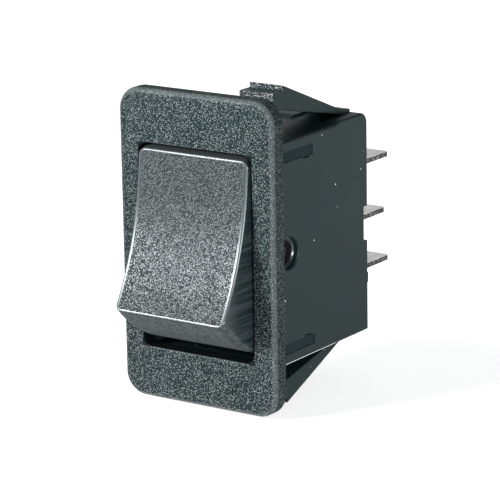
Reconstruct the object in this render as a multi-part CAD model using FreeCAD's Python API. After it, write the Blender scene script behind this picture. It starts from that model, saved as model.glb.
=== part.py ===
import FreeCAD, Part
import math
import os

os.makedirs("parts", exist_ok=True)

# Snap-in panel rocker switch. All sizes are in millimetres.
# Origin: centre of the bezel's back plane, which is the panel's front surface.
# +X right (seen from the front), +Y into the panel, +Z up.

V = FreeCAD.Vector
AXIS_X = V(1, 0, 0)
AXIS_Y = V(0, 1, 0)
AXIS_Z = V(0, 0, 1)

# bezel
BEZEL_W = 29.1
BEZEL_H = 50.0
BEZEL_T = 3.1
BEZEL_CORNER_R = 3.7
BEZEL_EDGE_R = 1.1
BEZEL_BACK_R = 0.25
SEAT_RECESS = 0.3
SEAT_GAP = 0.04
OPEN_W = 21.3
OPEN_H = 33.0
OPEN_CORNER_R = 1.9
LEG_T = 1.0
LEG_OUT_X = 12.56
LEG_LEN = 10.85
LEG_CLEAR = 0.06
BARB_Y = 8.3
BARB_LEN = 1.5
BARB_RISE = 0.3

# housing
BODY_HALF_X = 12.64
BODY_HALF_Z = 17.8
BODY_DEPTH = 26.87
FRONT_CAVITY_HALF_X = 11.0
REAR_CAVITY_HALF_X = 11.5
CAVITY_HALF_Z = 16.9
BASE_FRONT_Y = 20.1
BASE_REAR_Y = 25.3
REAR_EDGE_R = 1.8
LONG_EDGE_R = 0.35
BAND_Z = 18.25
BAND_START_Y = 19.0
WINDOW_Z0 = 14.45
WINDOW_Z1 = 16.15
WINDOW_LEN = 10.9
NOTCH_HALF_Z = 2.9
NOTCH_DEPTH = 1.27

# rocker
PIVOT_Y = 4.1
REST_TILT = 16.9
ROCKER_HALF_X = 10.3
FACE_HALF = 12.8
FACE_DIST = 11.85
FACE_SAG = 1.7
END_R = 23.0
ROCKER_CORNER_R = 1.25
ROCKER_RIM_R = 0.35
SKIRT_Y = 4.0
SKIN_T = 1.2
TRUNNION_R = 2.5
TRUNNION_BORE_R = 1.97
TRUNNION_END_X = 11.95
TRUNNION_HOLE_R = 2.55
HOLE_CHAMFER = 0.2

# plungers and springs (distances along the plunger's axis, from the rocker's pivot)
COLUMN_X = 6.2
TUBE_R = 2.2
TUBE_BORE_R = 1.4
TUBE_END = 8.4
TUBE_FLOOR = -5.0
PLUNGER_R = 1.34
TIP_R = 1.0
TIP_CENTRE = 12.0
PLUNGER_TAIL = 3.4
PLUNGER_TRAVEL = 1.2
SPRING_WIRE_R = 0.16
SPRING_MEAN_R = 1.0
SPRING_TURNS = 7

# contact levers
LEVER_PIVOT_Y = 18.3
LEVER_TILT = 9.0
LEVER_HALF_X = 2.2
LEVER_T = 0.6
LEVER_SHOULDER = 3.4
LEVER_END = 8.1
LEVER_TOP = 2.25
LEVER_RIB_R = 0.6
TIP_GAP = 0.06
BUTTON_U = 6.4
BUTTON_R = 1.3
BUTTON_T = 0.8
BUTTON_SHANK_R = 0.55
CONTACT_GAP = 0.04

# terminals
BLADE_W = 6.3
BLADE_T = 0.8
ROW_Z = 8.75
COMMON_Z = -0.4
OUTER_TIP_Y = 38.8
COMMON_TIP_Y = 37.7
PAD_T = 0.8
PAD_W = 5.0
PAD_END_Z = 4.9
RIVET_R = 1.4
RIVET_SHANK_R = 0.7
CRADLE_HALF_Z = 1.3
CRADLE_HALF_X = 2.6
CRADLE_R = 0.65
BLADE_HOLE_R = 0.9

# snap-in wings
WING_X0 = 4.0
WING_X1 = 10.2
WING_NOSE_Y = 3.7
WING_STEP_Y = 6.5
WING_HINGE_Y = 24.4
WING_HINGE_RISE = 0.10
WING_BARREL_R = 0.45
WING_GROOVE_R = 0.51
WING_EDGE_R = 0.15
TOP_ROOT_Z = 18.25
BOTTOM_ROOT_Z = 17.8
TOP_POCKET_START_Y = 17.4
BOTTOM_POCKET_START_Y = 15.6


def box(x0, x1, y0, y1, z0, z1):
    return Part.makeBox(x1 - x0, y1 - y0, z1 - z0, V(x0, y0, z0))


def cyl_x(radius, x0, x1, y, z):
    return Part.makeCylinder(radius, x1 - x0, V(x0, y, z), AXIS_X)


def cyl_y(radius, y0, y1, x, z):
    return Part.makeCylinder(radius, y1 - y0, V(x, y0, z), AXIS_Y)


def prism_x(points, x0, x1):
    ring = [V(x0, y, z) for y, z in points]
    ring.append(ring[0])
    face = Part.Face(Part.makePolygon(ring))
    return face.extrude(V(x1 - x0, 0, 0))


def rounded_plate(half_x, half_z, corner, y0, y1):
    plate = box(-half_x, half_x, y0, y1, -half_z, half_z)
    edges = []
    for edge in plate.Edges:
        if abs(edge.BoundBox.YLength - (y1 - y0)) < 1e-6:
            edges.append(edge)
    return plate.makeFillet(corner, edges)


def edges_on_plane_y(shape, y):
    found = []
    for edge in shape.Edges:
        bounds = edge.BoundBox
        if abs(bounds.YMin - y) < 1e-6 and abs(bounds.YMax - y) < 1e-6:
            found.append(edge)
    return found


def tilted(shape):
    # the rocker and what rides on it stand with the top pressed in
    copy = shape.copy()
    copy.rotate(V(0, PIVOT_Y, 0), AXIS_X, -REST_TILT)
    return copy


def single(shape):
    clean = shape.removeSplitter()
    if clean.ShapeType == "Compound" and len(clean.Solids) == 1:
        return clean.Solids[0]
    return clean


def save(name, shape):
    solid = single(shape)
    solid.exportStep("parts/" + name + ".step")
    print(name, solid.ShapeType, len(solid.Solids), solid.isValid(), round(solid.Volume, 2))


def latch_leg(side, level):
    # flush leg that fills the housing's window, with a barb behind the window's side pocket
    inner = LEG_OUT_X - LEG_T
    z0 = WINDOW_Z0 + LEG_CLEAR
    z1 = WINDOW_Z1 - LEG_CLEAR
    leg = box(inner, LEG_OUT_X, -0.6, LEG_LEN, z0, z1)
    barb = prism_x(
        [(BARB_Y, z0 + 0.1), (BARB_Y, z0 - BARB_RISE),
         (BARB_Y + BARB_LEN, z0), (BARB_Y + BARB_LEN, z0 + 0.1)],
        inner,
        LEG_OUT_X,
    )
    leg = leg.fuse(barb)
    if level < 0:
        leg = leg.mirror(V(0, 0, 0), AXIS_Z)
    if side < 0:
        leg = leg.mirror(V(0, 0, 0), AXIS_X)
    return leg


def make_bezel():
    plate = rounded_plate(BEZEL_W / 2, BEZEL_H / 2, BEZEL_CORNER_R, -BEZEL_T, 0)
    plate = plate.makeFillet(BEZEL_EDGE_R, edges_on_plane_y(plate, -BEZEL_T))
    plate = plate.makeFillet(BEZEL_BACK_R, edges_on_plane_y(plate, 0))
    plate = plate.cut(box(-BODY_HALF_X - SEAT_GAP, BODY_HALF_X + SEAT_GAP, -SEAT_RECESS, 1,
                          -BODY_HALF_Z - SEAT_GAP, BODY_HALF_Z + SEAT_GAP))
    hole = rounded_plate(OPEN_W / 2, OPEN_H / 2, OPEN_CORNER_R, -BEZEL_T - 1, 1)
    plate = plate.cut(hole)
    inner = []
    for edge in edges_on_plane_y(plate, -BEZEL_T):
        bounds = edge.BoundBox
        if max(abs(bounds.XMin), abs(bounds.XMax)) <= OPEN_W / 2 + 0.01:
            if max(abs(bounds.ZMin), abs(bounds.ZMax)) <= OPEN_H / 2 + 0.01:
                inner.append(edge)
    plate = plate.makeFillet(0.3, inner)
    for side in (1, -1):
        for level in (1, -1):
            plate = plate.fuse(latch_leg(side, level))
    return plate


def wing_profile(root_z):
    # side outline of the top wing in the Y-Z plane; heights are above the body's face
    return [
        (WING_NOSE_Y, root_z + 4.2),
        (WING_NOSE_Y, root_z + 6.55),
        (WING_NOSE_Y + 0.12, root_z + 6.67),
        (WING_STEP_Y, root_z + 6.67),
        (WING_STEP_Y, root_z + 7.4),
        (WING_STEP_Y + 0.12, root_z + 7.5),
        (22.6, root_z + 0.95),
        (WING_HINGE_Y, root_z + WING_HINGE_RISE + WING_BARREL_R),
        (WING_HINGE_Y, root_z + WING_HINGE_RISE - WING_BARREL_R),
    ]


def wing_serrations(root_z):
    # fine V grooves across the two gripping faces of the nose
    cuts = []
    for face_y, low, count in ((WING_NOSE_Y, 4.75, 5), (WING_STEP_Y, 6.85, 2)):
        for index in range(count):
            z = root_z + low + 0.36 * index
            groove = prism_x(
                [(face_y - 0.2, z - 0.15), (face_y + 0.12, z), (face_y - 0.2, z + 0.15)],
                WING_X0 - 1,
                WING_X1 + 1,
            )
            cuts.append(groove)
    return cuts


def make_wing(root_z, bottom):
    wing = prism_x(wing_profile(root_z), WING_X0, WING_X1)
    long_edges = []
    for edge in wing.Edges:
        if edge.BoundBox.XLength < 0.01 and edge.BoundBox.YLength > 12:
            long_edges.append(edge)
    wing = wing.makeFillet(WING_EDGE_R, long_edges)
    barrel = cyl_x(WING_BARREL_R, WING_X0, WING_X1, WING_HINGE_Y, root_z + WING_HINGE_RISE)
    wing = wing.fuse(barrel)
    for groove in wing_serrations(root_z):
        wing = wing.cut(groove)
    if bottom:
        wing = wing.mirror(V(0, 0, 0), AXIS_Z)
    return wing


def wing_pocket(root_z, start_y, bottom):
    # room below the wing's root, ending in the groove its barrel turns in
    x0 = WING_X0 - 0.15
    x1 = WING_X1 + 0.15
    hinge_z = root_z + WING_HINGE_RISE
    pocket = box(x0, x1, start_y, WING_HINGE_Y, hinge_z - WING_GROOVE_R, root_z + 3)
    pocket = pocket.fuse(cyl_x(WING_GROOVE_R, x0, x1, WING_HINGE_Y, hinge_z))
    pocket = pocket.fuse(box(x0, x1, WING_HINGE_Y - 0.1, WING_HINGE_Y + WING_GROOVE_R, hinge_z, root_z + 3))
    if bottom:
        pocket = pocket.mirror(V(0, 0, 0), AXIS_Z)
    return pocket


def hole_chamfer(radius, side, mouth_x):
    # cone that breaks the mouth of a hole along X, on the side wall at mouth_x
    mouth = V(side * mouth_x, PIVOT_Y, 0)
    return Part.makeCone(radius + HOLE_CHAMFER, radius, HOLE_CHAMFER, mouth, AXIS_X * -side)


def window_slot(x0, x1):
    # slot for a latch leg, open at the front, with the pocket its barb snaps into
    slot = box(x0, x1, -1, WINDOW_LEN, WINDOW_Z0, WINDOW_Z1)
    pocket_low = WINDOW_Z0 + LEG_CLEAR - BARB_RISE - 0.05
    pocket = box(x0, x1, BARB_Y - 0.05, BARB_Y + BARB_LEN, pocket_low, WINDOW_Z0 + 0.1)
    return slot.fuse(pocket)


def make_housing():
    shell = box(-BODY_HALF_X, BODY_HALF_X, -SEAT_RECESS, BODY_DEPTH, -BODY_HALF_Z, BODY_HALF_Z)
    band = prism_x(
        [(BAND_START_Y - 1.5, BODY_HALF_Z - 0.5), (BAND_START_Y - 1.5, BODY_HALF_Z), (BAND_START_Y, BAND_Z),
         (BODY_DEPTH, BAND_Z), (BODY_DEPTH, BODY_HALF_Z - 0.5)],
        -BODY_HALF_X,
        BODY_HALF_X,
    )
    shell = shell.fuse(band).removeSplitter()
    top_edge = []
    for edge in edges_on_plane_y(shell, BODY_DEPTH):
        bounds = edge.BoundBox
        if bounds.XLength > 20 and bounds.ZMin > 0:
            top_edge.append(edge)
    shell = shell.makeFillet(REAR_EDGE_R, top_edge)
    long_edges = []
    for edge in shell.Edges:
        bounds = edge.BoundBox
        if bounds.XLength < 0.01 and bounds.YLength > 0.4:
            long_edges.append(edge)
    shell = shell.makeFillet(LONG_EDGE_R, long_edges)
    pads = []
    for root_z, bottom in ((TOP_ROOT_Z, False), (BOTTOM_ROOT_Z, True)):
        pad = box(WING_X0, WING_X1, WING_HINGE_Y - 0.3, WING_HINGE_Y + 1.1, root_z - 0.6, root_z + 0.45)
        if bottom:
            pad = pad.mirror(V(0, 0, 0), AXIS_Z)
        pads.append(pad)
    for pad in pads:
        shell = shell.fuse(pad)
    shell = shell.cut(box(-FRONT_CAVITY_HALF_X, FRONT_CAVITY_HALF_X, -1, BASE_FRONT_Y + 1,
                          -CAVITY_HALF_Z, CAVITY_HALF_Z))
    shell = shell.cut(box(-REAR_CAVITY_HALF_X, REAR_CAVITY_HALF_X, BASE_FRONT_Y, BODY_DEPTH + 1,
                          -CAVITY_HALF_Z, CAVITY_HALF_Z))
    for side in (1, -1):
        x0 = min(side * 10.5, side * 13.5)
        x1 = max(side * 10.5, side * 13.5)
        shell = shell.cut(cyl_x(TRUNNION_HOLE_R, x0, x1, PIVOT_Y, 0))
        shell = shell.cut(box(x0, x1, BODY_DEPTH - NOTCH_DEPTH, BODY_DEPTH + 1, -NOTCH_HALF_Z, NOTCH_HALF_Z))
        shell = shell.cut(hole_chamfer(TRUNNION_HOLE_R, side, BODY_HALF_X))
        for window in (window_slot(x0, x1), window_slot(x0, x1).mirror(V(0, 0, 0), AXIS_Z)):
            shell = shell.cut(window)
        nib0 = min(side * 11.8, side * 12.5)
        nib1 = max(side * 11.8, side * 12.5)
        shell = shell.fuse(box(nib0, nib1, BODY_DEPTH - 0.3, BODY_DEPTH + 0.22, -9.9, -8.3))
    shell = shell.cut(wing_pocket(TOP_ROOT_Z, TOP_POCKET_START_Y, False))
    shell = shell.cut(wing_pocket(BOTTOM_ROOT_Z, BOTTOM_POCKET_START_Y, True))
    return shell


def rocker_outline(inset, skirt_y):
    # outline in the untilted rocker: chord parallel to Z, face towards -Y, pivot at (PIVOT_Y, 0)
    face_r = (FACE_HALF ** 2 + FACE_SAG ** 2) / (2 * FACE_SAG)
    end_centre = math.sqrt(END_R ** 2 - FACE_DIST ** 2) - FACE_HALF
    end_r = END_R - inset
    y_mid = PIVOT_Y - FACE_DIST + FACE_SAG + inset

    def end_z(y):
        return math.sqrt(end_r ** 2 - (y - PIVOT_Y) ** 2) - end_centre

    half = FACE_HALF - inset
    y_edge = y_mid
    for step in range(30):
        y_edge = y_mid - (face_r - math.sqrt(face_r ** 2 - half ** 2))
        half = end_z(y_edge)
    y_skirt = PIVOT_Y + skirt_y
    y_half = (y_edge + y_skirt) / 2
    top_edge = V(0, y_edge, half)
    low_edge = V(0, y_edge, -half)
    top_skirt = V(0, y_skirt, end_z(y_skirt))
    low_skirt = V(0, y_skirt, -end_z(y_skirt))
    parts = [
        Part.Arc(low_edge, V(0, y_mid, 0), top_edge).toShape(),
        Part.Arc(top_edge, V(0, y_half, end_z(y_half)), top_skirt).toShape(),
        Part.makeLine(top_skirt, low_skirt),
        Part.Arc(low_skirt, V(0, y_half, -end_z(y_half)), low_edge).toShape(),
    ]
    return Part.Face(Part.Wire(parts))


def make_rocker():
    outer = rocker_outline(0.0, SKIRT_Y)
    outer.translate(V(-ROCKER_HALF_X, 0, 0))
    paddle = outer.extrude(V(2 * ROCKER_HALF_X, 0, 0))
    corners = []
    for edge in paddle.Edges:
        bounds = edge.BoundBox
        if bounds.XLength < 0.01 and bounds.YLength > 10:
            corners.append(edge)
    paddle = paddle.makeFillet(ROCKER_CORNER_R, corners)
    rim = []
    for edge in paddle.Edges:
        if edge.BoundBox.YMax < PIVOT_Y - FACE_DIST + FACE_SAG + 0.3:
            rim.append(edge)
    paddle = paddle.makeFillet(ROCKER_RIM_R, rim)
    inner = rocker_outline(SKIN_T, SKIRT_Y + 2)
    inner.translate(V(-ROCKER_HALF_X + SKIN_T, 0, 0))
    paddle = paddle.cut(inner.extrude(V(2 * (ROCKER_HALF_X - SKIN_T), 0, 0)))
    roof_y = PIVOT_Y - FACE_DIST + FACE_SAG + 0.5
    paddle = paddle.fuse(box(-0.6, 0.6, roof_y, PIVOT_Y - 3, -13.0, 13.0))
    for side in (1, -1):
        x = side * COLUMN_X
        tube = cyl_y(TUBE_R, roof_y, PIVOT_Y + TUBE_END, x, 0)
        tube = tube.cut(cyl_y(TUBE_BORE_R, PIVOT_Y + TUBE_FLOOR, PIVOT_Y + TUBE_END + 1, x, 0))
        paddle = paddle.fuse(tube)
        x0 = min(side * (ROCKER_HALF_X - 0.5), side * TRUNNION_END_X)
        x1 = max(side * (ROCKER_HALF_X - 0.5), side * TRUNNION_END_X)
        paddle = paddle.fuse(cyl_x(TRUNNION_R, x0, x1, PIVOT_Y, 0))
    for side in (1, -1):
        x0 = min(side * (ROCKER_HALF_X - SKIN_T - 0.3), side * (TRUNNION_END_X + 1))
        x1 = max(side * (ROCKER_HALF_X - SKIN_T - 0.3), side * (TRUNNION_END_X + 1))
        paddle = paddle.cut(cyl_x(TRUNNION_BORE_R, x0, x1, PIVOT_Y, 0))
        paddle = paddle.cut(hole_chamfer(TRUNNION_BORE_R, side, TRUNNION_END_X))
    return tilted(paddle)


def make_plunger(x):
    tail = PIVOT_Y + PLUNGER_TAIL
    tip = PIVOT_Y + TIP_CENTRE
    pin = cyl_y(PLUNGER_R, tail, tip - 1.6, x, 0)
    neck = Part.makeCone(PLUNGER_R, TIP_R, 1.6, V(x, tip - 1.6, 0), AXIS_Y)
    ball = Part.makeSphere(TIP_R, V(x, tip, 0))
    return tilted(pin.fuse(neck).fuse(ball))


def make_spring(x):
    start = PIVOT_Y + TUBE_FLOOR + SPRING_WIRE_R + 0.02
    length = PLUNGER_TAIL - TUBE_FLOOR - 2 * SPRING_WIRE_R - 0.04
    pitch = length / SPRING_TURNS
    path = Part.makeHelix(pitch, length, SPRING_MEAN_R)
    edge_start = V(SPRING_MEAN_R, 0, 0)
    rise = pitch / (2 * math.pi * SPRING_MEAN_R)
    ring = Part.Wire([Part.makeCircle(SPRING_WIRE_R, edge_start, V(0, 1, rise))])
    coil = Part.Wire(path.Edges).makePipeShell([ring], True, True)
    coil.rotate(V(0, 0, 0), AXIS_X, -90)
    coil.translate(V(x, start, 0))
    return tilted(coil)


def lever_point(u, w):
    # lever frame: u along the lever towards +Z, w towards the front, at the lever's middle position
    return (LEVER_PIVOT_Y - w, u)


def lever_trough():
    # the arc that the plunger's tip centre runs along, in the lever frame
    depth = LEVER_PIVOT_Y - PIVOT_Y
    tilt = math.radians(REST_TILT)
    swing = math.radians(LEVER_TILT)
    across = TIP_CENTRE * math.sin(tilt)
    height = depth - TIP_CENTRE * math.cos(tilt)
    end_u = across * math.cos(swing) - height * math.sin(swing)
    end_w = across * math.sin(swing) + height * math.cos(swing)
    mid_w = depth - TIP_CENTRE
    rise = end_w - mid_w
    path_r = (end_u ** 2 + rise ** 2) / (2 * rise)
    return mid_w + path_r, path_r


def set_lever(shape, x):
    # the rest position has the lower arm pressed back onto its fixed contact
    copy = shape.copy()
    copy.translate(V(x, 0, 0))
    copy.rotate(V(0, LEVER_PIVOT_Y, 0), AXIS_X, LEVER_TILT)
    return copy


def make_lever(x):
    centre_w, path_r = lever_trough()
    tread_r = path_r + TIP_R + TIP_GAP
    back_r = tread_r + LEVER_T
    half = LEVER_HALF_X
    strip = prism_x(
        [lever_point(-LEVER_END, LEVER_TOP), lever_point(LEVER_END, LEVER_TOP),
         lever_point(LEVER_END, LEVER_TOP - LEVER_T), lever_point(-LEVER_END, LEVER_TOP - LEVER_T)],
        -half, half)
    centre = lever_point(0, centre_w)
    bowl = cyl_x(back_r, -half, half, centre[0], centre[1])
    reach = LEVER_SHOULDER + 0.8
    keep = box(-half, half, LEVER_PIVOT_Y - LEVER_TOP, LEVER_PIVOT_Y, -reach, reach)
    strip = strip.fuse(bowl.common(keep))
    strip = strip.cut(cyl_x(tread_r, -half - 1, half + 1, centre[0], centre[1]))
    rib = cyl_x(LEVER_RIB_R, -half, half, LEVER_PIVOT_Y, 0)
    strip = strip.fuse(rib)
    for end in (1, -1):
        hole_start = LEVER_PIVOT_Y - LEVER_TOP - 1
        strip = strip.cut(cyl_y(BUTTON_SHANK_R + 0.01, hole_start, LEVER_PIVOT_Y, 0, end * BUTTON_U))
    return set_lever(strip, x)


def make_button(x, end):
    back_w = LEVER_TOP - LEVER_T
    y0 = LEVER_PIVOT_Y - back_w
    disc = cyl_y(BUTTON_R, y0, y0 + BUTTON_T - 0.3, 0, end * BUTTON_U)
    dome = Part.makeCone(BUTTON_R, 0.5, 0.3, V(0, y0 + BUTTON_T - 0.3, end * BUTTON_U), AXIS_Y)
    shank = cyl_y(BUTTON_SHANK_R, y0 - LEVER_T - 0.05, y0, 0, end * BUTTON_U)
    head = Part.makeCone(BUTTON_SHANK_R + 0.25, BUTTON_SHANK_R, 0.25,
                         V(0, y0 - LEVER_T, end * BUTTON_U), AXIS_Y * -1)
    return set_lever(disc.fuse(dome).fuse(shank).fuse(head), x)


def rivet_top_y():
    # front of a fixed contact: where the closed button's flat lies, less a hair
    swing = math.radians(LEVER_TILT)
    tip_w = LEVER_TOP - LEVER_T - BUTTON_T
    low = 1000.0
    for u in (BUTTON_U - 0.5, BUTTON_U + 0.5):
        height = -u * math.sin(swing) + tip_w * math.cos(swing)
        low = min(low, height)
    return LEVER_PIVOT_Y - low + CONTACT_GAP


def contact_z():
    # height of the fixed contact that the tilted lever's button reaches
    swing = math.radians(LEVER_TILT)
    tip_w = LEVER_TOP - LEVER_T - BUTTON_T
    return BUTTON_U * math.cos(swing) + tip_w * math.sin(swing)


def make_rivet(x, end):
    top = rivet_top_y()
    z = end * contact_z()
    head = cyl_y(RIVET_R, top, BASE_FRONT_Y - PAD_T, x, z)
    shank = cyl_y(RIVET_SHANK_R, BASE_FRONT_Y - PAD_T - 0.1, BASE_FRONT_Y, x, z)
    return head.fuse(shank)


def blade(x, z, y0, tip):
    plate = box(x - BLADE_W / 2, x + BLADE_W / 2, y0, tip, z - BLADE_T / 2, z + BLADE_T / 2)
    side_edges = []
    for edge in edges_on_plane_y(plate, tip):
        if edge.BoundBox.XLength < 0.01:
            side_edges.append(edge)
    plate = plate.makeChamfer(0.7, side_edges)
    thin_edges = []
    for edge in edges_on_plane_y(plate, tip):
        if edge.BoundBox.XLength > 3:
            thin_edges.append(edge)
    plate = plate.makeChamfer(0.2, thin_edges)
    hole = Part.makeCylinder(BLADE_HOLE_R, 3, V(x, tip - 3.6, z - 1.5), AXIS_Z)
    return plate.cut(hole)


def make_outer_terminal(x, end):
    plate = blade(x, end * ROW_Z, BASE_FRONT_Y - PAD_T, OUTER_TIP_Y)
    z0 = min(end * PAD_END_Z, end * (ROW_Z + BLADE_T / 2))
    z1 = max(end * PAD_END_Z, end * (ROW_Z + BLADE_T / 2))
    pad = box(x - PAD_W / 2, x + PAD_W / 2, BASE_FRONT_Y - PAD_T, BASE_FRONT_Y, z0, z1)
    hole = cyl_y(RIVET_SHANK_R + 0.01, BASE_FRONT_Y - PAD_T - 1, BASE_FRONT_Y + 0.001, x, end * contact_z())
    return plate.fuse(pad).cut(hole)


def make_common_terminal(x):
    plate = blade(x, COMMON_Z, BASE_FRONT_Y - 0.1, COMMON_TIP_Y)
    head = box(x - CRADLE_HALF_X, x + CRADLE_HALF_X, LEVER_PIVOT_Y - 0.1, BASE_FRONT_Y,
               -CRADLE_HALF_Z, CRADLE_HALF_Z)
    head = head.cut(cyl_x(CRADLE_R, x - 5, x + 5, LEVER_PIVOT_Y, 0))
    ears = []
    for side in (1, -1):
        ear0 = min(x + side * CRADLE_HALF_X, x + side * (CRADLE_HALF_X + 0.5))
        ear1 = max(x + side * CRADLE_HALF_X, x + side * (CRADLE_HALF_X + 0.5))
        ears.append(box(ear0, ear1, LEVER_PIVOT_Y - 1.6, BASE_FRONT_Y, -CRADLE_HALF_Z, CRADLE_HALF_Z))
    body = plate.fuse(head)
    for ear in ears:
        body = body.fuse(ear)
    return body


def make_base():
    block = box(-REAR_CAVITY_HALF_X + 0.04, REAR_CAVITY_HALF_X - 0.04, BASE_FRONT_Y + 0.01, BASE_REAR_Y,
                -CAVITY_HALF_Z + 0.04, CAVITY_HALF_Z - 0.04)
    barrier = box(-0.6, 0.6, BASE_FRONT_Y - 5.5, BASE_FRONT_Y + 0.5, -14.0, 14.0)
    block = block.fuse(barrier)
    for x in (COLUMN_X, -COLUMN_X):
        for z in (ROW_Z, COMMON_Z, -ROW_Z):
            slot = box(x - BLADE_W / 2 - 0.01, x + BLADE_W / 2 + 0.01, BASE_FRONT_Y - 0.5, BASE_REAR_Y + 1,
                       z - BLADE_T / 2 - 0.01, z + BLADE_T / 2 + 0.01)
            block = block.cut(slot)
    for z in (4.2, -4.6):
        block = block.cut(box(-9.5, 9.5, BASE_REAR_Y - 1.4, BASE_REAR_Y + 1, z - 1.2, z + 1.2))
    return block


save("bezel", make_bezel())
save("housing", make_housing())
save("rocker", make_rocker())
save("terminal_base", make_base())
save("wing_top", make_wing(TOP_ROOT_Z, False))
save("wing_bottom", make_wing(BOTTOM_ROOT_Z, True))
for side_name, column in (("left", -COLUMN_X), ("right", COLUMN_X)):
    save("plunger_" + side_name, make_plunger(column))
    save("spring_" + side_name, make_spring(column))
    save("lever_" + side_name, make_lever(column))
    save("terminal_" + side_name + "_common", make_common_terminal(column))
    for level_name, level in (("upper", 1), ("lower", -1)):
        save("terminal_" + side_name + "_" + level_name, make_outer_terminal(column, level))
        save("button_" + side_name + "_" + level_name, make_button(column, level))
        save("rivet_" + side_name + "_" + level_name, make_rivet(column, level))
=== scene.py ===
import math

import bpy
from mathutils import Matrix, Vector


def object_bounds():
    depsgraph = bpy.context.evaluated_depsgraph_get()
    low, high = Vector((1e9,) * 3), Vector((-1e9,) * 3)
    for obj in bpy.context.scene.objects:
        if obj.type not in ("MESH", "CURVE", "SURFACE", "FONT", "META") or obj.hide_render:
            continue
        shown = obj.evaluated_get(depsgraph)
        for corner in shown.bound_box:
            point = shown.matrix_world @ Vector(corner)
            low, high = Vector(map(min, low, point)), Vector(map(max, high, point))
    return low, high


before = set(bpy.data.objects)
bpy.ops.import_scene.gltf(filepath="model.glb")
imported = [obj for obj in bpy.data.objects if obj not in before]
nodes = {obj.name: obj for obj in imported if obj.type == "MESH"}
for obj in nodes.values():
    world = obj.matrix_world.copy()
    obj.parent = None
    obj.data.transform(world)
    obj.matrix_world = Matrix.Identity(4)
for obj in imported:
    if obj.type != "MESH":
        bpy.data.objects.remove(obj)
cad_low, cad_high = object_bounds()

# ---------- directions, and places on the object in metres ----------
MM = 0.001
CENTRE = (0.0, 0.0, 0.0)
RIGHT, LEFT = (1.0, 0.0, 0.0), (-1.0, 0.0, 0.0)
FRONT, BACK = (0.0, -1.0, 0.0), (0.0, 1.0, 0.0)
UP, DOWN = (0.0, 0.0, 1.0), (0.0, 0.0, -1.0)

# At rest the rocker's face looks along FACE_WAY, and its long edges run along FACE_UP.
REST_TILT = math.radians(16.9)
FACE_WAY = (0.0, -math.cos(REST_TILT), math.sin(REST_TILT))
FACE_UP = (0.0, math.sin(REST_TILT), math.cos(REST_TILT))
FACE_DOWN = (0.0, -math.sin(REST_TILT), -math.cos(REST_TILT))
ROCKER_PIVOT = (0.0, 4.1 * MM, 0.0)
FACE_HALF_X, FACE_HALF_UP = 10.3 * MM, 12.8 * MM
FACE_CORNER = 1.25 * MM
FACE_RIM = 0.30 * MM
PLAIN_STRIP = 0.63 * MM

OPEN_HALF_X, OPEN_HALF_Z = 10.65 * MM, 16.5 * MM
BODY_HALF_X, BODY_HALF_Z = 12.64 * MM, 17.8 * MM
# Where the painted highlight along the body's lower edges ends.
EDGE_HIGHLIGHT_END_Y = 16.5 * MM

# ---------- colours: a pair is a shade, and the lighter shade or the stain mixed with it ----------
BLACK, BLACK_LIGHT = (0.006, 0.0120, 0.013), (0.009, 0.0165, 0.018)
BASE_BLACK, BASE_BLACK_LIGHT = (0.024, 0.026, 0.028), (0.034, 0.036, 0.038)
BROWN, BROWN_LIGHT = (0.42, 0.36, 0.27), (0.50, 0.44, 0.34)
# Painted shade in the grain's pits.
PIT_SHADE = (0.001, 0.002, 0.002)
SHADED = (0.001, 0.001, 0.001)
# Painted shade on the trunnions seen in their holes.
TRUNNION_SHADE = (0.0005, 0.0005, 0.0005)
# The grain's crumbs painted bright as glints; also the painted sheen on the bezel's roundings and the scuffs
# on the rocker's ends.
GRAIN_AND_GLINT = (0.44, 0.47, 0.475)
# Painted highlight on the rim of the rocker's face.
RIM_HIGHLIGHT = (0.22, 0.235, 0.24)
STREAK = (0.040, 0.048, 0.054)
# Painted highlight along the body's lower edges.
EDGE_HIGHLIGHT = (0.62, 0.66, 0.66)
DUST = (0.60, 0.62, 0.60)
TIN, TIN_STAIN = (0.93, 0.93, 0.92), (0.78, 0.78, 0.77)
SHEARED, TORN = (0.035, 0.035, 0.036), (0.22, 0.22, 0.22)
COPPER, COPPER_STAIN = (0.80, 0.47, 0.30), (0.66, 0.36, 0.22)
SILVER, SILVER_STAIN = (0.86, 0.85, 0.82), (0.70, 0.68, 0.64)
WIRE, WIRE_STAIN = (0.60, 0.60, 0.61), (0.45, 0.45, 0.46)
FLOOR, FLOOR_LIGHT = (0.50, 0.50, 0.50), (0.52, 0.52, 0.52)
GLOSS_TINT = (0.62, 0.95, 1.0, 1.0)
FACE_TINT = (0.88, 0.97, 1.0, 1.0)

# ---------- texture scales, in features per metre ----------
CLOUD_SCALE = 90.0
DUST_SCALE, DUST_PATCH_SCALE = 460.0, 75.0
GRAIN_PATCH_SCALE = 420.0
PEEL_SCALE, SKIN_SCALE = 3000.0, 9000.0
SCUFF_SCALE, STREAK_SCALE = 1500.0, 1500.0
DRAWN_SCALE, STAIN_SCALE, TORN_SCALE = 2600.0, 260.0, 4200.0
FLOOR_SCALE = 6.0

# Distances from a cell's centre, as parts of the cell's size.
CRUMB_TOP, CRUMB_FOOT = 0.30, 0.58
PIT_BRIM, PIT_FLOOR = 0.45, 0.70
SPECK_RADIUS = 0.072


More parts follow.
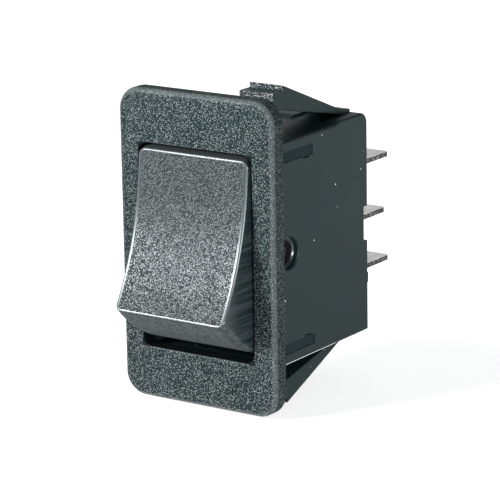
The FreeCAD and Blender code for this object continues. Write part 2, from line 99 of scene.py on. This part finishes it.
# ---------- node helpers ----------
class Tree:
    """A new material with one Principled shader, and short calls that add nodes to it."""

    def __init__(self, name):
        self.material = bpy.data.materials.new(name)
        self.material.use_nodes = True
        self.tree = self.material.node_tree
        self.tree.nodes.clear()
        out = self.add("ShaderNodeOutputMaterial")
        self.shader = self.add("ShaderNodeBsdfPrincipled")
        self.link(self.shader.outputs[0], out.inputs[0])
        coords = self.add("ShaderNodeTexCoord")
        self.place = coords.outputs["Object"]
        self.normal = coords.outputs["Normal"]

    def add(self, kind, **settings):
        node = self.tree.nodes.new(kind)
        for key, value in settings.items():
            setattr(node, key, value)
        return node

    def link(self, source, target):
        self.tree.links.new(source, target)

    def paint(self, colour, rough):
        self.link(colour, self.shader.inputs["Base Color"])
        self.link(rough, self.shader.inputs["Roughness"])

    def math(self, kind, *values):
        node = self.add("ShaderNodeMath", operation=kind)
        for index, value in enumerate(values):
            if isinstance(value, (int, float)):
                node.inputs[index].default_value = value
            else:
                self.link(value, node.inputs[index])
        return node.outputs[0]

    def times(self, product, *factors):
        for factor in factors:
            product = self.math("MULTIPLY", product, factor)
        return product

    def plus(self, a, b):
        return self.math("ADD", a, b)

    def minus(self, a, b):
        return self.math("SUBTRACT", a, b)

    def either(self, a, b):
        return self.math("MAXIMUM", a, b)

    def dot(self, vector, direction):
        node = self.add("ShaderNodeVectorMath", operation="DOT_PRODUCT")
        self.link(vector, node.inputs[0])
        node.inputs[1].default_value = direction
        return node.outputs["Value"]

    def noise(self, scale, detail=2.0, rough=0.5, stretch=None):
        source = self.place
        if stretch:
            mapping = self.add("ShaderNodeMapping")
            mapping.inputs["Scale"].default_value = stretch
            self.link(source, mapping.inputs[0])
            source = mapping.outputs[0]
        node = self.add("ShaderNodeTexNoise")
        node.inputs["Scale"].default_value = scale
        node.inputs["Detail"].default_value = detail
        node.inputs["Roughness"].default_value = rough
        self.link(source, node.inputs["Vector"])
        return node.outputs[0]

    def cells(self, scale):
        """Distance to the nearest cell's centre, and a chance number for each cell."""
        node = self.add("ShaderNodeTexVoronoi")
        node.inputs["Scale"].default_value = scale
        self.link(self.place, node.inputs["Vector"])
        chance = self.add("ShaderNodeSeparateColor")
        self.link(node.outputs["Color"], chance.inputs[0])
        return node.outputs["Distance"], chance.outputs[0]

    def range(self, value, low, high, to_low=0.0, to_high=1.0):
        """Smooth step from to_low at low to to_high at high. Low may be the larger of the two."""
        node = self.add("ShaderNodeMapRange", interpolation_type="SMOOTHSTEP")
        self.link(value, node.inputs[0])
        node.inputs["From Min"].default_value = low
        node.inputs["From Max"].default_value = high
        node.inputs["To Min"].default_value = to_low
        node.inputs["To Max"].default_value = to_high
        return node.outputs[0]

    def mix(self, factor, a, b):
        """Colour a at factor 0, b at 1. A colour mix has them at its inputs 6 and 7."""
        node = self.add("ShaderNodeMix", data_type="RGBA")
        self.link(factor, node.inputs[0])
        for index, value in ((6, a), (7, b)):
            if isinstance(value, tuple):
                node.inputs[index].default_value = (*value, 1.0)
            else:
                self.link(value, node.inputs[index])
        return node.outputs[2]

    def facing(self, direction, low, high):
        """0 to 1 as the cosine between the surface's normal and direction goes from low to high."""
        return self.range(self.dot(self.normal, direction), low, high)

    def along(self, direction, origin=CENTRE):
        """Distance in metres from origin along direction."""
        offset = sum(a * b for a, b in zip(direction, origin))
        return self.minus(self.dot(self.place, direction), offset)

    def away(self, direction, origin=CENTRE):
        """Distance in metres from origin along direction, counted the same to both sides."""
        return self.math("ABSOLUTE", self.along(direction, origin))

    def bump(self, height, strength, distance):
        node = self.add("ShaderNodeBump")
        node.inputs["Strength"].default_value = strength
        node.inputs["Distance"].default_value = distance
        self.link(height, node.inputs["Height"])
        self.link(node.outputs[0], self.shader.inputs["Normal"])


# ---------- plastics ----------
def dark_plastic(name, rough, spec, tint=GLOSS_TINT):
    t = Tree(name)
    t.shader.inputs["Roughness"].default_value = rough
    t.shader.inputs["Specular IOR Level"].default_value = spec
    t.shader.inputs["Specular Tint"].default_value = tint
    return t


def cloudy(t, dark, light):
    """Soft clouds, and two close shades mixed by them."""
    cloud = t.noise(CLOUD_SCALE, detail=3.0, rough=0.55)
    return cloud, t.mix(t.range(cloud, 0.3, 0.7), dark, light)


def skin(t, height):
    """The finest roughness of a moulded surface."""
    return t.times(t.noise(SKIN_SCALE, detail=1.0), height)


def eroded(t, base, mask, scale, few, most, gain, depth):
    """Spark-eroded grain: crumbs painted bright as glints, among pits painted black as shade.

    A crumb is dark if its chance number is below few, and brightest if that is above most.
    Returns the colour, the crumbs and their height.
    """
    distance, chance = t.cells(scale)
    patch = t.times(t.minus(t.noise(GRAIN_PATCH_SCALE), 0.5), 0.08)
    lit = t.range(t.plus(chance, patch), few, most)
    crumb = t.times(t.range(distance, CRUMB_FOOT, CRUMB_TOP), lit, mask)
    pit = t.times(t.range(distance, PIT_BRIM, PIT_FLOOR), mask)
    # Painted shade in the pits, then painted glints on the crumbs.
    base = t.mix(t.times(pit, 0.9), base, PIT_SHADE)
    base = t.mix(t.times(crumb, gain), base, GRAIN_AND_GLINT)
    height = t.times(t.minus(1.0, distance), t.times(mask, depth))
    return base, crumb, height


def dusted(t, base, amount):
    """Sparse pale specks, thinned out in patches."""
    distance, _ = t.cells(DUST_SCALE)
    speck = t.range(distance, SPECK_RADIUS, SPECK_RADIUS * 0.5)
    patch = t.range(t.noise(DUST_PATCH_SCALE, detail=1.0), 0.48, 0.56)
    return t.mix(t.times(speck, patch, amount), base, DUST)


def bezel_plastic():
    """Grain with painted glints on the front and fainter round the outside, a painted sheen on the roundings,
    painted shade in the opening, plain latch legs.
    """
    t = dark_plastic("bezel_black", rough=0.5, spec=0.12)
    _, base = cloudy(t, BLACK, BLACK_LIGHT)
    front = t.plus(t.times(t.facing(FRONT, -0.5, 0.95), 0.55), 0.45)
    legs = t.range(t.along(BACK), -0.2 * MM, 0.1 * MM)
    mask = t.times(front, t.minus(1.0, legs))
    base, crumb, height = eroded(t, base, mask, 6300.0, few=0.42, most=0.90, gain=0.40, depth=0.10)
    t.bump(t.plus(height, skin(t, 0.05)), strength=1.0, distance=0.16 * MM)

    # Painted sheen on the roundings round the front.
    rounding = t.times(t.facing(FRONT, 0.97, 0.85), t.facing(FRONT, 0.10, 0.35))
    base = t.mix(t.times(rounding, 0.09), base, GRAIN_AND_GLINT)

    # Painted shade on the walls inside the opening.
    within_sides = t.range(t.away(RIGHT), OPEN_HALF_X + 0.1 * MM, OPEN_HALF_X)
    within_ends = t.range(t.away(UP), OPEN_HALF_Z + 0.1 * MM, OPEN_HALF_Z)
    base = t.mix(t.times(within_sides, within_ends), dusted(t, base, 0.4), SHADED)

    rough = t.minus(0.70, t.times(rounding, 0.20))
    t.paint(base, t.minus(rough, t.times(crumb, 0.35)))
    return t.material


def face_rim(t, across):
    """1 on the rim of the rocker's rounded face, where a highlight is painted, 0 inside it."""
    past_side = t.either(t.minus(across, FACE_HALF_X - FACE_CORNER), 0.0)
    past_end = t.either(t.minus(t.away(FACE_UP, ROCKER_PIVOT), FACE_HALF_UP - FACE_CORNER), 0.0)
    squares = t.plus(t.math("POWER", past_side, 2.0), t.math("POWER", past_end, 2.0))
    reach = t.math("SQRT", squares)
    border = t.range(reach, FACE_CORNER - FACE_RIM * 1.15, FACE_CORNER - FACE_RIM * 0.85)
    return t.times(border, t.facing(FACE_WAY, 0.55, 0.75))


def rocker_plastic():
    """Dense grain with painted glints on the face, a painted highlight on the rim, scuffed ends with painted
    shade, streaked sides and painted shade on the trunnions.
    """
    t = dark_plastic("rocker_black", rough=0.3, spec=0.44, tint=FACE_TINT)
    _, base = cloudy(t, BLACK, BLACK_LIGHT)
    across = t.away(RIGHT, ROCKER_PIVOT)

    # The face has grain, except on the rim and on a plain strip along each long edge.
    face = t.facing(FACE_WAY, 0.80, 0.90)
    rim = face_rim(t, across)
    strip_edge = FACE_HALF_X - PLAIN_STRIP
    strip = t.times(t.range(across, strip_edge - 0.05 * MM, strip_edge + 0.05 * MM), face)
    inside = t.times(face, t.minus(1.0, t.either(rim, strip)))
    base, crumb, height = eroded(t, base, inside, 6200.0, few=0.26, most=0.68, gain=0.21, depth=0.06)

    # The ends are scuffed. The rim has a painted highlight, the upper end painted shade, and the turn below
    # the lower rim a painted shadow line.
    upper = t.facing(FACE_UP, 0.2, 0.5)
    scuffed = t.either(t.facing(FACE_DOWN, 0.2, 0.5), t.times(upper, 0.15))
    scuff = t.range(t.noise(SCUFF_SCALE, detail=4.0, rough=0.6), 0.30, 0.70)
    base = t.mix(t.times(scuff, t.times(scuffed, 0.09)), base, GRAIN_AND_GLINT)
    base = t.mix(t.times(rim, 0.25), base, RIM_HIGHLIGHT)
    base = t.mix(t.times(upper, 0.7), base, SHADED)
    shadow_line = t.times(t.facing(FACE_DOWN, 0.35, 0.50), t.facing(FACE_WAY, 0.60, 0.70))
    base = t.mix(shadow_line, base, SHADED)

    # The flat sides are streaked from front to back.
    sides = t.either(t.facing(RIGHT, 0.8, 0.95), t.facing(LEFT, 0.8, 0.95))
    sides = t.times(sides, t.range(across, FACE_HALF_X - 0.2 * MM, FACE_HALF_X - 0.1 * MM))
    sides = t.times(sides, t.range(across, FACE_HALF_X + 0.2 * MM, FACE_HALF_X + 0.1 * MM))
    streak = t.noise(STREAK_SCALE, detail=3.0, rough=0.6, stretch=(1.0, 0.035, 1.0))
    base = t.mix(t.times(t.range(streak, 0.40, 0.70), sides, 0.75), base, STREAK)
    height = t.plus(height, t.times(streak, sides, 0.25))
    t.bump(height, strength=1.0, distance=0.16 * MM)

    # Painted shade: the trunnions and their bores are painted black, but not the rings at their ends.
    trunnions = t.range(across, FACE_HALF_X + 0.2 * MM, FACE_HALF_X + 0.4 * MM)
    trunnions = t.times(trunnions, t.range(across, FACE_HALF_X + 1.4 * MM, FACE_HALF_X + 1.2 * MM))
    base = t.mix(trunnions, base, TRUNNION_SHADE)

    ends = t.either(t.facing(FACE_UP, 0.3, 0.7), t.facing(FACE_DOWN, 0.3, 0.7))
    rough = t.plus(t.times(inside, 0.58), 0.30)
    rough = t.plus(rough, t.times(ends, 0.70))
    rough = t.minus(rough, t.times(rim, 0.06))
    t.paint(base, t.minus(t.either(rough, trunnions), t.times(crumb, 0.62)))
    return t.material


def painted_edge_highlight(t):
    """1 on a line along the body's two lower edges, from the bezel's back to the lower wing's root, where a
    highlight is painted.
    """
    at_side = t.range(t.away(RIGHT), BODY_HALF_X - 0.30 * MM, BODY_HALF_X - 0.20 * MM)
    at_bottom = t.range(t.along(DOWN), BODY_HALF_Z - 0.24 * MM, BODY_HALF_Z - 0.18 * MM)
    back = t.along(BACK)
    starts = t.range(back, -0.5 * MM, 0.0)
    ends = t.range(back, EDGE_HIGHLIGHT_END_Y + 1.0 * MM, EDGE_HIGHLIGHT_END_Y)
    return t.times(t.times(at_side, at_bottom), t.times(starts, ends))


def satin_plastic(name, dark, light, rough, spec, dust, edge_highlight=False):
    """Plain moulded skin: faint orange peel, cloudy roughness, sparse dust; the last argument paints a
    highlight along the two lower edges.
    """
    t = dark_plastic(name, rough, spec)
    cloud, base = cloudy(t, dark, light)
    peel = t.noise(PEEL_SCALE, rough=0.6)
    t.bump(t.plus(t.times(peel, 0.25), skin(t, 0.12)), strength=0.3, distance=0.03 * MM)
    base = dusted(t, base, dust)
    # Painted highlight along the two lower edges.
    if edge_highlight:
        base = t.mix(painted_edge_highlight(t), base, EDGE_HIGHLIGHT)
    t.paint(base, t.range(cloud, 0.2, 0.8, rough - 0.05, rough + 0.07))
    return t.material


def wing_plastic():
    """Satin like the body, with grain and painted glints on the serrated faces of the nose."""
    t = dark_plastic("wing_black", rough=0.38, spec=0.15)
    cloud, base = cloudy(t, BLACK, BLACK_LIGHT)
    nose = t.facing(FRONT, 0.25, 0.6)
    base, _, height = eroded(t, base, nose, 6000.0, few=0.15, most=0.80, gain=0.9, depth=0.10)
    t.bump(t.plus(height, skin(t, 0.03)), strength=1.0, distance=0.12 * MM)
    t.paint(dusted(t, base, 0.3), t.range(cloud, 0.2, 0.8, 0.34, 0.44))
    return t.material


# ---------- metals ----------
def bright_metal(name, colour, stain, stretch):
    """Metal with a faint stain. Returns its tree, its colour and its fine drawn lines."""
    t = Tree(name)
    t.shader.inputs["Metallic"].default_value = 1.0
    lines = t.noise(DRAWN_SCALE, detail=3.0, rough=0.6, stretch=stretch)
    t.bump(lines, strength=0.25, distance=0.03 * MM)
    cloud = t.noise(STAIN_SCALE, detail=3.0, rough=0.6)
    return t, t.mix(t.range(cloud, 0.35, 0.75), colour, stain), lines


def rolled_metal(name, colour, stain, rough, stretch):
    """Strip or wire whose gloss varies with its drawn lines."""
    t, base, lines = bright_metal(name, colour, stain, stretch)
    t.paint(base, t.range(lines, 0.25, 0.75, rough - 0.08, rough + 0.12))
    return t.material


def blade_metal():
    """Tin-plated strip: bright flat faces, and dark sheared edges with torn, brighter spots."""
    t, plated, lines = bright_metal("blade_tin", TIN, TIN_STAIN, stretch=(1.0, 0.06, 1.0))
    flat = t.either(t.facing(UP, 0.75, 0.9), t.facing(DOWN, 0.75, 0.9))
    torn = t.noise(TORN_SCALE, rough=0.6, stretch=(0.3, 0.3, 1.0))
    sheared = t.mix(t.range(torn, 0.50, 0.62), SHEARED, TORN)
    t.paint(t.mix(flat, sheared, plated), t.range(lines, 0.25, 0.75, 0.26, 0.46))
    return t.material


# ---------- the finish of each piece ----------
ALL_WAYS, ALONG_DEPTH = (1.0, 1.0, 1.0), (1.0, 1.0, 0.08)
contact_silver = rolled_metal("contact_silver", SILVER, SILVER_STAIN, rough=0.28, stretch=ALL_WAYS)
FINISHES = (
    ("bezel", bezel_plastic()),
    ("rocker", rocker_plastic()),
    ("wing", wing_plastic()),
    ("housing", satin_plastic("housing_black", BLACK, BLACK_LIGHT, 0.42, spec=0.165, dust=1.0, edge_highlight=True)),
    ("terminal_base", satin_plastic("base_black", BASE_BLACK, BASE_BLACK_LIGHT, 0.5, spec=0.35, dust=0.4)),
    ("plunger", satin_plastic("plunger_brown", BROWN, BROWN_LIGHT, 0.35, spec=0.5, dust=0.0)),
    ("terminal", blade_metal()),
    ("lever", rolled_metal("lever_copper", COPPER, COPPER_STAIN, rough=0.30, stretch=ALONG_DEPTH)),
    ("spring", rolled_metal("spring_wire", WIRE, WIRE_STAIN, rough=0.25, stretch=ALL_WAYS)),
    ("button", contact_silver),
    ("rivet", contact_silver),
)


def finish_for(node_name):
    """The first finish whose word the name starts with, so terminal_base stands above terminal."""
    for start, material in FINISHES:
        if node_name.startswith(start):
            return material
    raise ValueError(node_name)


for node_name, node in nodes.items():
    for slot in node.material_slots:
        slot.material = finish_for(node_name)


# ---------- floor ----------
def make_floor(reach, gap, glow):
    """A floor that glows, so that it stays white past the lamps' reach."""
    z = cad_low[2] - gap
    corners = [(-reach, -reach, z), (reach, -reach, z), (reach, reach, z), (-reach, reach, z)]
    mesh = bpy.data.meshes.new("floor")
    mesh.from_pydata(corners, [], [(0, 1, 2, 3)])
    floor = bpy.data.objects.new("floor", mesh)
    bpy.context.collection.objects.link(floor)
    t = Tree("floor_white")
    t.shader.inputs["Roughness"].default_value = 0.85
    t.shader.inputs["Specular IOR Level"].default_value = 0.1
    t.shader.inputs["Emission Color"].default_value = (1.0, 1.0, 1.0, 1.0)
    t.shader.inputs["Emission Strength"].default_value = glow
    shade = t.mix(t.range(t.noise(FLOOR_SCALE), 0.3, 0.7), FLOOR, FLOOR_LIGHT)
    t.link(shade, t.shader.inputs["Base Color"])
    floor.data.materials.append(t.material)


make_floor(reach=30.0, gap=0.2 * MM, glow=0.75)


# ---------- light ----------
def soft_light(name, place, size, power):
    """A rectangular lamp aimed at the object's centre: place and size in metres, power in watts."""
    data = bpy.data.lights.new(name, "AREA")
    data.shape = "RECTANGLE"
    data.size, data.size_y = size
    data.energy = power
    lamp = bpy.data.objects.new(name, data)
    lamp.location = place
    lamp.rotation_mode = "QUATERNION"
    lamp.rotation_quaternion = (Vector(CENTRE) - Vector(place)).to_track_quat("-Z", "Y")
    bpy.context.collection.objects.link(lamp)


soft_light("key", (-0.66, -0.93, 0.46), size=(0.38, 0.34), power=33.0)
soft_light("top", (-0.10, 0.10, 1.15), size=(1.1, 1.1), power=0.8)
soft_light("upper_left", (-0.66, -0.46, 0.90), size=(0.30, 0.30), power=5.0)
soft_light("back", (-0.74, 1.06, 0.36), size=(0.70, 0.50), power=0.55)
soft_light("right_strip", (1.02, -0.59, 0.16), size=(0.26, 0.34), power=14.0)

world = bpy.data.worlds.new("studio")
world.use_nodes = True
sky = world.node_tree.nodes["Background"]
sky.inputs["Color"].default_value = (0.97, 0.985, 1.0, 1.0)
sky.inputs["Strength"].default_value = 0.22
bpy.context.scene.world = world
bpy.context.scene.view_settings.view_transform = "Standard"
bpy.context.scene.view_settings.look = "None"


# ---------- camera ----------
def make_camera(azimuth, elevation, roll, distance, lens, aim):
    """Angles in degrees, distance in metres from the point aimed at, lens in millimetres."""
    around, above, lean = math.radians(azimuth), math.radians(elevation), math.radians(roll)
    level = math.cos(above)
    back = Vector((math.sin(around) * level, -math.cos(around) * level, math.sin(above)))
    right = (-back).cross(Vector(UP)).normalized()
    up = right.cross(-back)
    level_right, level_up = right, up
    right = level_right * math.cos(lean) + level_up * math.sin(lean)
    up = level_up * math.cos(lean) - level_right * math.sin(lean)
    data = bpy.data.cameras.new("camera")
    data.sensor_width = 36.0
    data.lens = lens
    data.clip_start, data.clip_end = 0.01, 50.0
    camera = bpy.data.objects.new("camera", data)
    turn = Matrix((right, up, back)).transposed().to_4x4()
    camera.matrix_world = Matrix.Translation(Vector(aim) + back * distance) @ turn
    bpy.context.collection.objects.link(camera)
    bpy.context.scene.camera = camera


make_camera(34.7, 14.6, -0.96, distance=0.4438, lens=205.1, aim=(0.00550, 0.00371, -0.00033))
